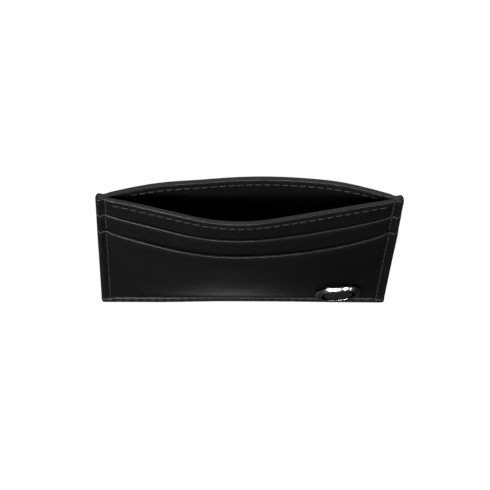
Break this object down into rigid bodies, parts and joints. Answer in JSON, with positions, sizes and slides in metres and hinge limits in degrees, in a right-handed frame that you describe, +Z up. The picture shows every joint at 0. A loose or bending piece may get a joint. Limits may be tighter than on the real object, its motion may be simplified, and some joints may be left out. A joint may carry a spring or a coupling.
{
  "type": "card holder",
  "caption": "Slim black leather card holder with an open centre pocket, card slots on both faces, stitched seams and a small oval metal emblem.",
  "frame": {"origin": "middle of the bottom edge, on the plane where the front and rear halves are sewn together", "axes": "+X along the width (the emblem is at +X), +Y from the front face to the rear face, +Z up towards the open mouth"},
  "size_m": [0.1, 0.0213, 0.07],
  "materials": {
    "leather": "smooth black calf, fine grain, satin",
    "lining": "thin black lining leather, matte",
    "board": "bonded fibre reinforcement, matte",
    "slot_fabric": "fine twill slot lining",
    "thread": "waxed twisted thread",
    "edge_paint": "burnished black edge paint, semi-gloss",
    "emblem_metal": "polished dark palladium plate",
    "washer_metal": "plain"
  },
  "bodies": {
    "root": {"front_lining": "lining", "front_stiffener": "board", "front_wall": "leather", "front_slot_backing": "slot_fabric", "front_slot_panel": "leather", "front_pocket_facing": "slot_fabric", "front_pocket_panel": "leather", "rear_lining": "lining", "rear_stiffener": "board", "rear_wall": "leather", "rear_slot_backing": "slot_fabric", "rear_slot_panel": "leather", "rear_pocket_facing": "slot_fabric", "rear_pocket_panel": "leather", "front_rim_thread": "thread", "rear_rim_thread": "thread", "front_slot_thread": "thread", "rear_slot_thread": "thread", "front_seam_thread": "thread", "rear_seam_thread": "thread", "front_rim_coat": "edge_paint", "rear_rim_coat": "edge_paint", "front_slot_coat": "edge_paint", "rear_slot_coat": "edge_paint", "front_pocket_coat": "edge_paint", "rear_pocket_coat": "edge_paint", "left_edge_coat": "edge_paint", "right_edge_coat": "edge_paint", "bottom_edge_coat": "edge_paint", "emblem_frame": "emblem_metal", "emblem_boss": "emblem_metal", "emblem_washer": "washer_metal"}
  },
  "joints": []
}
